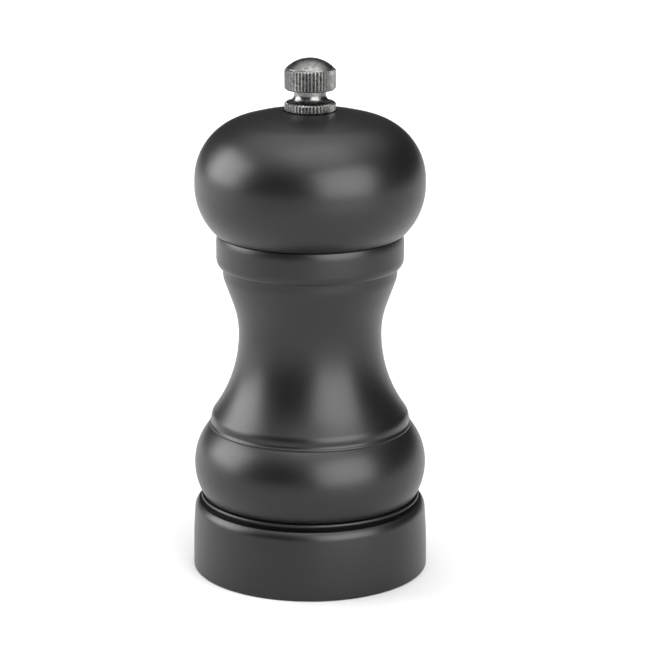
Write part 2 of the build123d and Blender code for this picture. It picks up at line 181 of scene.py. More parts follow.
def make_piece(name, grids, materials, sharp=32, parts=None):
    """Mesh of one or more grids of points in millimetres, each (rows, columns, 3). A face's normal is the
    way along its row crossed with the way from row to row. Points that meet, at poles and seams, are
    merged. parts, where given, is each face's material number."""
    vertices, faces, start = [], [], 0
    for grid in grids:
        rows, columns = grid.shape[:2]
        number = start + np.arange(rows * columns).reshape(rows, columns)
        corners = [number[:-1, :-1], number[:-1, 1:], number[1:, 1:], number[1:, :-1]]
        faces.append(np.stack(corners, 2).reshape(-1, 4))
        vertices.append(grid.reshape(-1, 3) * 0.001)
        start += rows * columns
    mesh = bpy.data.meshes.new(name)
    mesh.from_pydata(np.vstack(vertices), [], np.vstack(faces))
    if parts is not None:
        mesh.polygons.foreach_set("material_index", parts.astype(np.int32).ravel())
    solid = bmesh.new()
    solid.from_mesh(mesh)
    bmesh.ops.remove_doubles(solid, verts=solid.verts, dist=1e-6)
    solid.to_mesh(mesh)
    solid.free()
    mesh.shade_smooth()
    mesh.set_sharp_from_angle(angle=radians(sharp))
    for material in materials:
        mesh.materials.append(material)
    piece = bpy.data.objects.new(name, mesh)
    bpy.context.scene.collection.objects.link(piece)
    return piece


def finish_material(name, colour, roughness, metallic=0.0):
    """New material with those values on its shader, and a function that adds and links nodes to it."""
    material = bpy.data.materials.new(name)
    material.use_nodes = True
    tree = material.node_tree
    shader = tree.nodes["Principled BSDF"]
    shader.inputs["Base Color"].default_value = (*colour, 1)
    shader.inputs["Roughness"].default_value = roughness
    shader.inputs["Metallic"].default_value = metallic
    place = tree.nodes.new("ShaderNodeTexCoord")

    def add(kind, links=(), **values):
        """One node of that kind, its sockets set by name from values and joined to other nodes' outputs."""
        node = tree.nodes.new("ShaderNode" + kind)
        for key, value in values.items():
            if hasattr(node, key):
                setattr(node, key, value)
            else:
                node.inputs[key.replace("_", " ")].default_value = value
        for socket, output in links:
            tree.links.new(output, node.inputs[socket])
        return node

    def link(output, socket):
        """Joins an output to a socket of the shader."""
        tree.links.new(output, shader.inputs[socket])

    def stretched(scale):
        """The object's own coordinates, scaled along each axis."""
        return add("Mapping", [("Vector", place.outputs["Object"])], Scale=scale).outputs["Vector"]

    return material, add, link, stretched


def black_lacquer():
    """Two thin coats of satin black on close-grained wood: near black, a slight orange peel, and the
    grain just felt through the coat as long shallow waves up the piece."""
    material, add, link, stretched = finish_material("satin_black_lacquer", (0.002, 0.002, 0.002), 0.36)
    peel = add("TexNoise", [("Vector", stretched((1, 1, 1)))], Scale=1400, Detail=2)
    grain = add("TexNoise", [("Vector", stretched((1, 1, 0.08)))], Scale=900, Detail=4)
    cloud = add("TexNoise", [("Vector", stretched((1, 1, 0.4)))], Scale=60, Detail=3)
    shade = add("MapRange", [("Value", cloud.outputs["Fac"])], To_Min=0.0012, To_Max=0.003)
    link(shade.outputs["Result"], "Base Color")
    sheen = add("MapRange", [("Value", grain.outputs["Fac"])], To_Min=0.34, To_Max=0.38)
    link(sheen.outputs["Result"], "Roughness")
    waves = add("Bump", [("Height", grain.outputs["Fac"])], Strength=0.06, Distance=0.00006)
    skin = add(
        "Bump", [("Height", peel.outputs["Fac"]), ("Normal", waves.outputs["Normal"])],
        Strength=0.08, Distance=0.00005,
    )
    link(skin.outputs["Normal"], "Normal")
    return material


def bare_beech():
    """Turned beech: pale pinkish tan, year rings about a pith outside the piece, and short dark flecks
    along the grain that also give its surface a faint bump."""
    material, add, link, stretched = finish_material("bare_beech", (0.55, 0.36, 0.21), 0.62)
    pith = add("Mapping", [("Vector", stretched((1, 1, 0.12)))], Location=(0.06, 0.03, 0))
    rings = add(
        "TexWave", [("Vector", pith.outputs["Vector"])],
        wave_type="RINGS", rings_direction="Z", Scale=110, Distortion=3.5, Detail=3, Detail_Scale=1.2,
    )
    flecks = add("TexVoronoi", [("Vector", stretched((1, 1, 0.16)))], Scale=1100)
    tan_wood = add("ValToRGB", [("Fac", rings.outputs["Fac"])])
    tan_wood.color_ramp.elements[0].color = (0.42, 0.25, 0.135, 1)
    tan_wood.color_ramp.elements[1].color = (0.60, 0.41, 0.25, 1)
    spots = add("MapRange", [("Value", flecks.outputs["Distance"])], From_Max=0.35, To_Min=0.72, To_Max=1.0)
    flecked = add(
        "Mix", [(6, tan_wood.outputs["Color"])], data_type="RGBA", blend_type="MULTIPLY",
    )
    flecked.inputs["Factor"].default_value = 1.0
    material.node_tree.links.new(spots.outputs["Result"], flecked.inputs[7])
    link(flecked.outputs[2], "Base Color")
    grain = add("Bump", [("Height", flecks.outputs["Distance"])], Strength=0.25, Distance=0.0001)
    link(grain.outputs["Normal"], "Normal")
    return material


lacquer = black_lacquer()
beech = bare_beech()

foot_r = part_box("body")[1].x * 1000
seam_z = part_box("body")[1].z * 1000
foot_edge = 0.5
band_straight = 4.5
band_taper_r = 128.0
band_taper_angle = 4.7
shoulder_r = 3.2
shoulder_angle = 46.0
groove_r = 26.3
ridge_radius = 0.45
ridge_reach = 75.0
upper_ridge_low = -30.0
upper_ridge_high = 45.0
lower_ridge_r = 26.55
lower_ridge_z = 18.3
bead_r = 28.55
bead_z = 26.65
bead_lower_curve = 14.8
bead_upper_curve = 14.5
bead_lower_angle = 33.0
bead_upper_angle = 41.6
upper_ridge_r = 24.4
upper_ridge_z = 36.6
step_r = 24.4
step_top = 38.1
step_curve = 3.2
waist_r = 17.5
waist_z = 59.55
throat_curve = 22.6
throat_angle = 20.0
under_collar_r = 21.3
under_collar_curve = 6.0
collar_r = 22.87
collar_bottom = 76.65
collar_lower_curve = 3.0
collar_lower_angle = 38.0
collar_lower_rise = 2.0
collar_taper_r = 6.0
collar_taper_angle = 17.0
collar_edge = 0.7
recess_r = 20.6
recess_depth = 8.0
grinder_bore_r = 14.6
grinder_bore_top = 30.5
chamber_r = 13.0
socket_r = 15.6
socket_z = seam_z - 11.0
bore_edge = 0.35

foot_band = arc(foot_r - band_taper_r, band_straight, band_taper_r, 0, band_taper_angle)
shoulder_z = foot_band[-1, 1] - shoulder_r * sin(radians(band_taper_angle))
shoulder_x = foot_band[-1, 0] - shoulder_r * cos(radians(band_taper_angle))
shoulder = arc(shoulder_x, shoulder_z, shoulder_r, band_taper_angle, shoulder_angle)
lower_bead = arc(bead_r - bead_lower_curve, bead_z, bead_lower_curve, -bead_lower_angle, 0)
upper_bead = arc(bead_r - bead_upper_curve, bead_z, bead_upper_curve, 0, bead_upper_angle)
upper_ridge = arc(upper_ridge_r, upper_ridge_z, ridge_radius, upper_ridge_low, upper_ridge_high)
cove_radius = (upper_ridge[-1, 0] - step_r) / (1 - cos(radians(upper_ridge_high)))
cove_z = upper_ridge[-1, 1] + cove_radius * sin(radians(upper_ridge_high))
flare_rise = waist_z - step_top
flare_run = step_r - step_curve - waist_r
flare_curve = (flare_run**2 + flare_rise**2 - step_curve**2) / (2 * (flare_run + step_curve))
flare_angle = degrees(np.arctan2(flare_rise, flare_curve - flare_run))
throat = arc(waist_r + throat_curve, waist_z, throat_curve, 180, 180 - throat_angle)
taper_end_r = under_collar_r - under_collar_curve * (1 - cos(radians(throat_angle)))
taper_end_z = throat[-1, 1] + (taper_end_r - throat[-1, 0]) / tan(radians(throat_angle))
rounding_z = taper_end_z + under_collar_curve * sin(radians(throat_angle))
collar_z = collar_bottom + collar_lower_rise
collar_roll = arc(collar_r - collar_lower_curve, collar_z, collar_lower_curve, -collar_lower_angle, 0)
collar_taper_z = seam_z - collar_edge - (collar_taper_r - collar_edge) * sin(radians(collar_taper_angle))
collar_edge_x = (
    collar_r - collar_taper_r + (collar_taper_r - collar_edge) * cos(radians(collar_taper_angle))
)
body_outline = np.vstack([
    arc(foot_r - foot_edge, foot_edge, foot_edge, -90, 0),
    foot_band,
    shoulder,
    [(groove_r, shoulder[-1, 1])],
    arc(lower_ridge_r, lower_ridge_z, ridge_radius, -ridge_reach, ridge_reach),
    lower_bead,
    upper_bead,
    upper_ridge,
    arc(step_r + cove_radius, cove_z, cove_radius, 180 + upper_ridge_high, 180),
    arc(step_r - step_curve, step_top, step_curve, 0, flare_angle),
    arc(waist_r + flare_curve, waist_z, flare_curve, 180 + flare_angle, 180),
    throat,
    arc(under_collar_r - under_collar_curve, rounding_z, under_collar_curve, -throat_angle, 0),
    eased((under_collar_r, rounding_z, 0), (under_collar_r, collar_bottom, 0.15), (*collar_roll[0], 0)),
    collar_roll,
    arc(collar_r - collar_taper_r, collar_taper_z, collar_taper_r, 0, collar_taper_angle),
    arc(collar_edge_x, seam_z - collar_edge, collar_edge, collar_taper_angle, 90),
    eased(
        (collar_edge_x, seam_z, 0),
        (socket_r, seam_z, bore_edge),
        (socket_r, socket_z, 0.1),
        (chamber_r, socket_z, bore_edge),
        (chamber_r, grinder_bore_top, bore_edge),
        (grinder_bore_r, grinder_bore_top, 0.1),
        (grinder_bore_r, recess_depth, bore_edge),
        (recess_r, recess_depth, 0.1),
        (recess_r, 0, bore_edge),
        (foot_r - foot_edge, 0, 0),
    ),
])
middle = (body_outline[:-1] + body_outline[1:]) / 2
spray_margin = 0.1
in_recess = (middle[:, 0] < recess_r + spray_margin) & (middle[:, 1] < recess_depth + spray_margin)
bored = (middle[:, 0] < socket_r + spray_margin) | in_recess
body = make_piece(
    "turned_body", [turned(body_outline)], [lacquer, beech],
    parts=np.repeat(bored[:, None], lathe_rounds, 1),
)
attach(body, "mill_body")
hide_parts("body")


# Stator. The fixed burr: a ring of hardened steel with helical teeth inside, coarse at the mouth and
# fine at the foot, and a notch each side that holds it still between the legs of the bridge.
def burr_steel():
    """Hardened tool steel, ground and oiled: dark grey metal with a cloudy temper and fine cutter marks."""
    material, add, link, stretched = finish_material("burr_steel", (0.19, 0.19, 0.2), 0.36, metallic=1.0)
    temper = add("TexNoise", [("Vector", stretched((1, 1, 1)))], Scale=240, Detail=5)
    shade = add("ValToRGB", [("Fac", temper.outputs["Fac"])])
    shade.color_ramp.elements[0].color = (0.13, 0.13, 0.14, 1)
    shade.color_ramp.elements[1].color = (0.27, 0.265, 0.26, 1)
    link(shade.outputs["Color"], "Base Color")
    marks = add("TexNoise", [("Vector", stretched((1, 1, 9)))], Scale=1500, Detail=2)
    dull = add("MapRange", [("Value", marks.outputs["Fac"])], To_Min=0.28, To_Max=0.46)
    link(dull.outputs["Result"], "Roughness")
    cut = add("Bump", [("Height", marks.outputs["Fac"])], Strength=0.15, Distance=0.00005)
    link(cut.outputs["Normal"], "Normal")
    return material


def saw(phase):
    """A tooth of height 1 for each whole step of phase: a slow rise over 80% of it and a quick fall over
    the rest."""
    part = phase % 1.0
    return np.minimum(part / 0.8, (1 - part) / 0.2)


def burr(outline, coarse, fine, rounds=576):
    """Grid of an outline of (r, z, coarse depth, fine depth) rows swept round Z, each point moved outwards
    by its depth times the tooth's height. coarse and fine are (teeth, turn in degrees per millimetre)."""
    turn = np.linspace(0, 2 * np.pi, rounds + 1)[None, :]
    r, z, coarse_depth, fine_depth = (outline[:, k : k + 1] for k in range(4))
    big = saw(coarse[0] * (turn / (2 * np.pi) + coarse[1] * z / 360))
    small = saw(fine[0] * (turn / (2 * np.pi) + fine[1] * z / 360))
    radius = r + coarse_depth * big + fine_depth * small
    return np.stack([radius * np.cos(turn), radius * np.sin(turn), z + 0 * turn], 2)


burr_metal = burr_steel()

stator_low, stator_high = (corner * 1000 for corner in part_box("stator"))
stator_r = stator_high.y
stator_mouth = (11.6, stator_high.z)
stator_throat = (9.7, stator_high.z - 4.0)
stator_fine = (9.7, stator_low.z + 3.0)
stator_foot = (11.0, stator_low.z)
stator_edge = 0.4
stator_coarse = (12, 5.0)
stator_small = (40, -6.0)
stator_coarse_depth = 0.9
stator_fine_depth = 0.35
leg_inner_x = 12.65
leg_half_width = 4.05

rise = np.linspace(0, 1, 20)[:, None]
inside = np.vstack([
    np.array(stator_mouth) + (np.array(stator_throat) - stator_mouth) * rise,
    np.array(stator_throat) + (np.array(stator_fine) - stator_throat) * rise[1:],
    np.array(stator_fine) + (np.array(stator_foot) - stator_fine) * rise[1:],
])
# The coarse teeth fade out towards the foot, and the fine ones towards the mouth.
height = (inside[:, 1] - stator_low.z) / (stator_high.z - stator_low.z)
inside_teeth = np.column_stack([
    inside,
    stator_coarse_depth * np.clip(height * 1.8 - 0.35, 0, 1),
    stator_fine_depth * np.clip(1.2 - height * 3, 0, 1),
])
outside = eased(
    (*stator_foot, 0),
    (stator_r, stator_low.z, stator_edge),
    (stator_r, stator_high.z, stator_edge),
    (*stator_mouth, 0),
)
outside_teeth = np.column_stack([outside, np.zeros((len(outside), 2))])
outside_teeth[0, 2:] = inside_teeth[-1, 2:]
outside_teeth[-1, 2:] = inside_teeth[0, 2:]
stator_grid = burr(np.vstack([outside_teeth, inside_teeth[1:]]), stator_coarse, stator_small)
in_notch = (np.abs(stator_grid[..., 1]) < leg_half_width) & (np.abs(stator_grid[..., 0]) > leg_inner_x)
stator_grid[..., 0] = np.where(in_notch, np.sign(stator_grid[..., 0]) * leg_inner_x, stator_grid[..., 0])
stator = make_piece("stator_ring", [stator_grid], [burr_metal])
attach(stator, "mill_body")
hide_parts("stator")


# Retaining plate. A disc blanked from zinc-plated sheet steel, with a turned-down lip round the
# outlet. It sits in the foot recess and carries the stator. The screws and tabs cover where they pass.
def zinc_plate():
    """Bright zinc over mild steel: a cool grey metal, lightly mottled, with fine rolling scratches."""
    material, add, link, stretched = finish_material(
        "zinc_plated_steel", (0.6, 0.62, 0.64), 0.3, metallic=1.0
    )
    mottle = add("TexNoise", [("Vector", stretched((1, 1, 1)))], Scale=160, Detail=6)
    shade = add("ValToRGB", [("Fac", mottle.outputs["Fac"])])
    shade.color_ramp.elements[0].color = (0.5, 0.52, 0.55, 1)
    shade.color_ramp.elements[1].color = (0.68, 0.69, 0.69, 1)
    link(shade.outputs["Color"], "Base Color")
    scratches = add("TexNoise", [("Vector", stretched((14, 1, 1)))], Scale=700, Detail=3)
    dull = add("MapRange", [("Value", scratches.outputs["Fac"])], To_Min=0.22, To_Max=0.42)
    link(dull.outputs["Result"], "Roughness")
    lines = add("Bump", [("Height", scratches.outputs["Fac"])], Strength=0.08, Distance=0.00003)
    link(lines.outputs["Normal"], "Normal")
    return material


def round_hole(radius, rounds=192):
    """Closed circle of (x, y) points."""
    turn = np.linspace(0, 2 * np.pi, rounds + 1)
    return np.stack([radius * np.cos(turn), radius * np.sin(turn)], 1)


def square_reach(half, corner, turn):
    """How far a square of that half side, its corners cut off by corner, reaches from its centre at each
    angle."""
    flat = half / np.maximum(np.abs(np.cos(turn)), np.abs(np.sin(turn)))
    cut = (2 * half - corner) / (np.abs(np.cos(turn)) + np.abs(np.sin(turn)))
    return np.minimum(flat, cut)


def square_hole(half, corner, rounds=192):
    """Closed square of (x, y) points with its corners cut."""
    turn = np.linspace(0, 2 * np.pi, rounds + 1)
    reach = square_reach(half, corner, turn)
    return np.stack([reach * np.cos(turn), reach * np.sin(turn)], 1)


def sheet_metal(hole, rim, thickness, edge=0.2, steps=24):
    """Grid of a flat sheet between two closed curves of equal length, as (x, y, height above its middle).
    Rows go from the hole to the rim along the underside, round the rim's edge, back along the top and
    round the hole's edge. Edges are quarter rounds of radius edge."""
    span = rim - hole
    away = span / np.linalg.norm(span, axis=1, keepdims=True)
    share = np.linspace(0, 1, steps)[:, None, None]
    bend = np.radians(np.linspace(0, 90, 5))[:, None, None]
    half = thickness / 2
    across = hole + away * edge + (span - 2 * away * edge) * share
    rim_in = rim - away * edge * (1 - np.sin(bend))
    hole_in = hole + away * edge * (1 - np.sin(bend))
    rim_drop = np.broadcast_to(half - edge + edge * np.cos(bend), rim_in.shape[:2] + (1,))
    flat = np.broadcast_to(half, across.shape[:2] + (1,))
    rows = [
        np.concatenate([across, -flat], 2),
        np.concatenate([rim_in, -rim_drop], 2),
        np.concatenate([rim_in[::-1], rim_drop[::-1]], 2),
        np.concatenate([across[::-1], flat], 2),
        np.concatenate([hole_in, rim_drop], 2),
        np.concatenate([hole_in[::-1], -rim_drop[::-1]], 2),
    ]
    return np.concatenate(rows, 0)


zinc = zinc_plate()

plate_low, plate_high = (corner * 1000 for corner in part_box("retaining_plate"))
plate_thickness = plate_high.z - plate_low.z
plate_hole_r = 11.5
lip_width = 0.9
lip_drop = 0.25

plate_grid = sheet_metal(
    round_hole(plate_hole_r, 288), round_hole(plate_high.x, 288), plate_thickness, steps=64
)
from_hole = np.linalg.norm(plate_grid[..., :2], axis=2) - plate_hole_r
lip = np.clip(1 - from_hole / lip_width, 0, 1) ** 2 * lip_drop
plate_grid[..., 2] += plate_low.z + plate_thickness / 2 - np.where(plate_grid[..., 2] < 0, lip, 0)
plate = make_piece("retaining_disc", [plate_grid], [zinc])
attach(plate, "mill_body")
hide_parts("retaining_plate")


# Retaining screws. Two pan-head wood screws with a cross recess, driven up through the plate into the
# wood. They hold the plate, and with it the stator and the bridge.
def cross_reach(half_width, half_length, turn):
    """How far a cross with arms of that half width and length reaches from its centre at each angle."""
    c, s = np.abs(np.cos(turn)) + 1e-9, np.abs(np.sin(turn)) + 1e-9
    return np.maximum(
        np.minimum(half_length / c, half_width / s), np.minimum(half_width / c, half_length / s)
    )


def hanging_screw(x, y, seat_z, head_r, head_height, shank_r, shank_length, pitch):
    """Grid of a screw whose head hangs under seat_z: the floor of the cross, its tapered wall, the domed
    pan, then a shank with a helical thread that runs up to a point."""
    columns = 121
    pan_rows = 9
    rows_per_thread = 8
    thread_share = 0.3
    point_lengths = 3
    turn = np.linspace(0, 2 * np.pi, columns)[None, :]
    cross = cross_reach(head_r * 0.13, head_r * 0.56, turn)
    floor_z = seat_z - head_height * 0.45
    face_z = seat_z - head_height
    down = np.radians(np.linspace(0, 90, pan_rows))[:, None]
    flat_r = head_r * 0.62
    pan = flat_r + (head_r - flat_r) * np.sin(down)
    climb = np.linspace(0, 1, int(shank_length / pitch * rows_per_thread))[:, None]
    crest = np.abs((climb * shank_length / pitch - turn / (2 * np.pi)) % 1 - 0.5) * 2
    taper = np.clip((1 - climb) * shank_length / (point_lengths * shank_r), 0, 1)
    radius = np.vstack([
        0 * turn,
        0.6 * cross,
        cross,
        np.broadcast_to(pan, (pan_rows, columns)),
        np.full((1, columns), shank_r),
        (shank_r - thread_share * shank_r * (1 - crest)) * taper,
    ])
    height = np.vstack([
        np.full((2, 1), floor_z),
        np.full((1, 1), face_z),
        face_z + head_height * (1 - np.cos(down)),
        np.full((1, 1), seat_z),
        seat_z + climb * shank_length,
    ])
    return np.stack([x + radius * np.cos(turn), y + radius * np.sin(turn), height + 0 * turn], 2)


screw_low, screw_high = (corner * 1000 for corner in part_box("retaining_screws"))
screw_head_r = screw_high.x
screw_y = screw_high.y - screw_head_r
screw_shank_r = 1.25
screw_pitch = 1.0
retaining_screws = make_piece(
    "retaining_screw_pair",
    [
        hanging_screw(
            0, y, plate_low.z, screw_head_r, plate_low.z - screw_low.z,
            screw_shank_r, screw_high.z - plate_low.z, screw_pitch,
        )
        for y in (-screw_y, screw_y)
    ],
    [zinc],
)
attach(retaining_screws, "mill_body")
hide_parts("retaining_screws")

# Bridge. A strap blanked from sheet, pierced for the shaft, bent down over the stator on both sides,
# and staked through the retaining plate by a narrow tab at each end.
bridge_low, bridge_high = (corner * 1000 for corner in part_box("bridge"))
strap_half = bridge_high.y
strap_thickness = 1.2
strap_outer_bend = 2.2
strap_corner = 0.3
strap_bend = strap_outer_bend - strap_thickness / 2
strap_hole_r = 3.4
tab_half = 2.0
mid_x = bridge_high.x - strap_thickness / 2
mid_z = bridge_high.z - strap_thickness / 2
bend_start = mid_x - strap_bend
bend_length = strap_bend * np.pi / 2
shoulder_at = bend_start + bend_length + mid_z - strap_bend - stator_low.z
tab_end = bend_start + bend_length + mid_z - strap_bend - bridge_low.z


def even_points(corners, count):
    """Closed run of points evenly spaced along straight lines from corner to corner."""
    loop = np.array([*corners, corners[0]], float)
    along = np.concatenate([[0], np.cumsum(np.linalg.norm(np.diff(loop, axis=0), axis=1))])
    at = np.linspace(0, along[-1], count)
    return np.stack([np.interp(at, along, loop[:, k]) for k in range(2)], 1)


quarter = [(shoulder_at, strap_half - strap_corner), (shoulder_at - strap_corner, strap_half)]
blank = even_points(
    [
        (tab_end, 0), (tab_end, tab_half), (shoulder_at, tab_half), *quarter,
        *[(-s, w) for s, w in reversed(quarter)], (-shoulder_at, tab_half), (-tab_end, tab_half),
        (-tab_end, -tab_half), (-shoulder_at, -tab_half), *[(-s, -w) for s, w in quarter],
        *[(s, -w) for s, w in reversed(quarter)], (shoulder_at, -tab_half), (tab_end, -tab_half),
    ],
    721,
)
blank_turn = np.arctan2(blank[:, 1], blank[:, 0])
hole_edge = np.stack([strap_hole_r * np.cos(blank_turn), strap_hole_r * np.sin(blank_turn)], 1)
flat_strap = sheet_metal(hole_edge, blank, strap_thickness, steps=56)
along, across, off = flat_strap[..., 0], flat_strap[..., 1], flat_strap[..., 2]
side = np.sign(along)
past = np.clip(np.abs(along) - bend_start, 0, bend_length) / strap_bend
drop = np.clip(np.abs(along) - bend_start - bend_length, 0, None)
bridge_grid = np.stack([
    side * (np.minimum(np.abs(along), bend_start) + (strap_bend + off) * np.sin(past)),
    across,
    mid_z - strap_bend + (strap_bend + off) * np.cos(past) - drop,
], 2)
bridge = make_piece("bridge_strap", [bridge_grid], [zinc])
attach(bridge, "mill_body")
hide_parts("bridge")

# Spring seat washer. A small steel washer with a square hole: it turns with the shaft and keeps the
# turning spring off the bridge.
seat_low, seat_high = (corner * 1000 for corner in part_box("spring_seat_washer"))
square_half = 2.6
square_corner = 0.3
seat_grid = sheet_metal(
    square_hole(square_half, square_corner), round_hole(seat_high.x), seat_high.z - seat_low.z
)
seat_grid[..., 2] += (seat_low.z + seat_high.z) / 2
seat_washer = make_piece("seat_washer", [seat_grid], [zinc])
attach(seat_washer, "turning_seat")
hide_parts("spring_seat_washer")


# Grind spring. Round spring wire, coiled closer near each end, the ends ground flat. It sits between
# its seat and the rotor and pushes the rotor down, away from the stator.
def spring_wire():
    """Hard-drawn wire, oil-tempered: mid grey metal, darker where the oil film has gathered."""
    material, add, link, stretched = finish_material("spring_steel", (0.42, 0.42, 0.43), 0.28, metallic=1.0)
    film = add("TexNoise", [("Vector", stretched((1, 1, 1)))], Scale=420, Detail=4)
    shade = add("ValToRGB", [("Fac", film.outputs["Fac"])])
    shade.color_ramp.elements[0].color = (0.3, 0.29, 0.28, 1)
    shade.color_ramp.elements[1].color = (0.5, 0.5, 0.51, 1)
    link(shade.outputs["Color"], "Base Color")
    dull = add("MapRange", [("Value", film.outputs["Fac"])], To_Min=0.22, To_Max=0.36)
    link(dull.outputs["Result"], "Roughness")
    return material


spring_low, spring_high = (corner * 1000 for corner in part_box("grind_spring"))
wire_r = 0.45
coil_r = spring_high.x - wire_r
coil_turns = 5.0
dead_turn = 0.8
coil_at = np.linspace(0, coil_turns, 361)
ground_off = 0.3
end_rise = 0.78
coil_low = spring_low.z + wire_r * (1 - ground_off)
coil_high = spring_high.z - wire_r * (1 - ground_off)
coil_z = np.interp(
    coil_at,
    [0, dead_turn, coil_turns - dead_turn, coil_turns],
    [coil_low, coil_low + end_rise * dead_turn, coil_high - end_rise * dead_turn, coil_high],
)
coil_turn = (coil_at * 2 * np.pi)[:, None]
wire_turn = np.linspace(0, 2 * np.pi, 25)[None, :]
wire_reach = np.full((len(coil_at), 1), wire_r)
wire_reach[0] = wire_reach[-1] = 0
out = coil_r + wire_reach * np.cos(wire_turn)
spring_grid = np.stack([
    out * np.cos(coil_turn),
    out * np.sin(coil_turn),
    np.clip(coil_z[:, None] + wire_reach * np.sin(wire_turn), spring_low.z, spring_high.z),
], 2)
spring = make_piece("grind_spring_coil", [spring_grid[:, ::-1]], [spring_wire()], sharp=60)
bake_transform(spring)
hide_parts("grind_spring")


# Drive shaft. A square bar of drawn steel. Its top is turned down and threaded for the nut, its foot
# is drilled for the screw that holds the rotor.
def drawn_steel():
    """Cold-drawn bar: light grey metal with long fine die marks up its length."""
    material, add, link, stretched = finish_material("drawn_steel", (0.56, 0.56, 0.55), 0.3, metallic=1.0)
    die = add("TexNoise", [("Vector", stretched((1, 1, 0.02)))], Scale=2600, Detail=3)
    shade = add("ValToRGB", [("Fac", die.outputs["Fac"])])
    shade.color_ramp.elements[0].color = (0.45, 0.45, 0.45, 1)
    shade.color_ramp.elements[1].color = (0.64, 0.64, 0.62, 1)
    link(shade.outputs["Color"], "Base Color")
    dull = add("MapRange", [("Value", die.outputs["Fac"])], To_Min=0.22, To_Max=0.42)
    link(dull.outputs["Result"], "Roughness")
    lines = add("Bump", [("Height", die.outputs["Fac"])], Strength=0.12, Distance=0.00003)
    link(lines.outputs["Normal"], "Normal")
    return material


drawn = drawn_steel()

shaft_low, shaft_high = (corner * 1000 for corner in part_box("drive_shaft"))
shaft_half = shaft_high.x
shaft_corner = 0.4
square_top = 112.4
thread_r = 2.5
thread_pitch = 0.8
thread_depth = 0.46
thread_steps = 14
thread_run_out = 0.6
point_length = 0.5
point_drop = 0.5
end_chamfer = 0.25
shoulder_chamfer = 0.2

turn = np.linspace(0, 2 * np.pi, 97)[None, :]
bar = square_reach(shaft_half, shaft_corner, turn)
threads = (shaft_high.z - square_top) / thread_pitch
thread_rise = np.linspace(0, 1, int(threads * thread_steps))[:, None]
thread_z = square_top + thread_rise * (shaft_high.z - square_top)
crest = np.abs((thread_z / thread_pitch - turn / (2 * np.pi)) % 1 - 0.5) * 2
run_out = np.clip((thread_z - square_top) / thread_run_out, 0, 1)
point = np.clip((shaft_high.z - thread_z) / point_length, 0, 1) * point_drop - point_drop
thread = thread_r - thread_depth * np.clip(1.12 - 1.25 * crest, 0, 1) * run_out
thread = np.minimum(thread, thread_r + point)
shaft_radius = np.vstack([
    0 * turn, bar - end_chamfer, bar, bar, bar - shoulder_chamfer,
    np.full((1, turn.size), thread_r), thread, 0 * turn,
])
shaft_z = np.vstack([
    [[shaft_low.z], [shaft_low.z], [shaft_low.z + end_chamfer]],
    [[square_top - shoulder_chamfer], [square_top], [square_top]],
    thread_z, [[shaft_high.z]],
])
shaft_grid = np.stack([shaft_radius * np.cos(turn), shaft_radius * np.sin(turn), shaft_z + 0 * turn], 2)
shaft = make_piece("square_shaft", [shaft_grid], [drawn])
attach(shaft, "shaft")
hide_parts("drive_shaft")

# Rotor. The turning burr: a cone of the same steel with nine coarse spiral teeth that draw the corns
# down and forty fine ones round its foot. Its square hole slides on the shaft.
rotor_low, rotor_high = (corner * 1000 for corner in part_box("rotor"))
rotor_waist = (9.2, rotor_low.z + 3.8)
rotor_top_r = 6.0
rotor_hole = 2.55
rotor_coarse = (9, -4.5)
rotor_small = (40, 6.0)
rotor_coarse_depth = 1.9
rotor_fine_depth = 0.4

cone = np.vstack([
    np.array((rotor_high.x, rotor_low.z)) + (np.array(rotor_waist) - (rotor_high.x, rotor_low.z)) * rise,
    np.array(rotor_waist) + (np.array((rotor_top_r, rotor_high.z)) - rotor_waist) * rise[1:],
])
height = (cone[:, 1] - rotor_low.z) / (rotor_high.z - rotor_low.z)
big_depth = rotor_coarse_depth * np.clip(height * 2.2 - 0.6, 0, 1)
small_depth = rotor_fine_depth * np.clip(1.6 - height * 3.2, 0, 1)
cone_teeth = np.column_stack([cone[:, 0] - big_depth - small_depth, cone[:, 1], big_depth, small_depth])
faces_r = 4.2
rotor_outline = np.vstack([[faces_r, rotor_low.z, 0, 0], cone_teeth, [faces_r, rotor_high.z, 0, 0]])
rotor_grid = burr(rotor_outline, rotor_coarse, rotor_small)
around = np.linspace(0, 2 * np.pi, rotor_grid.shape[1])
hole_reach = square_reach(rotor_hole, 0.2, around)
hole_ring = np.stack([hole_reach * np.cos(around), hole_reach * np.sin(around), 0 * around], 1)
rotor_grid = np.concatenate([
    hole_ring[None] + (0, 0, rotor_low.z),
    rotor_grid,
    hole_ring[None] + (0, 0, rotor_high.z),
    hole_ring[None] + (0, 0, rotor_low.z),
])
rotor = make_piece("rotor_cone", [rotor_grid], [burr_metal])
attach(rotor, "shaft")
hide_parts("rotor")

# Rotor washer and screw. The screw goes up into the shaft's end and clamps the washer to it, and the
# rotor rests on the washer.
washer_low, washer_high = (corner * 1000 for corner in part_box("rotor_washer"))
washer_hole_r = 1.6
washer_grid = sheet_metal(
    round_hole(washer_hole_r), round_hole(washer_high.x), washer_high.z - washer_low.z
)
washer_grid[..., 2] += (washer_low.z + washer_high.z) / 2
rotor_washer = make_piece("rotor_washer_ring", [washer_grid], [zinc])
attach(rotor_washer, "shaft")
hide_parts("rotor_washer")

stud_low, stud_high = (corner * 1000 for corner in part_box("rotor_screw"))
stud_shank_r = 1.5
stud_pitch = 0.5
rotor_screw = make_piece(
    "rotor_pan_screw",
    [hanging_screw(
        0, 0, washer_low.z, stud_high.x, washer_low.z - stud_low.z,
        stud_shank_r, stud_high.z - washer_low.z, stud_pitch,
    )],
    [zinc],
)
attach(rotor_screw, "shaft")
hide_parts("rotor_screw")

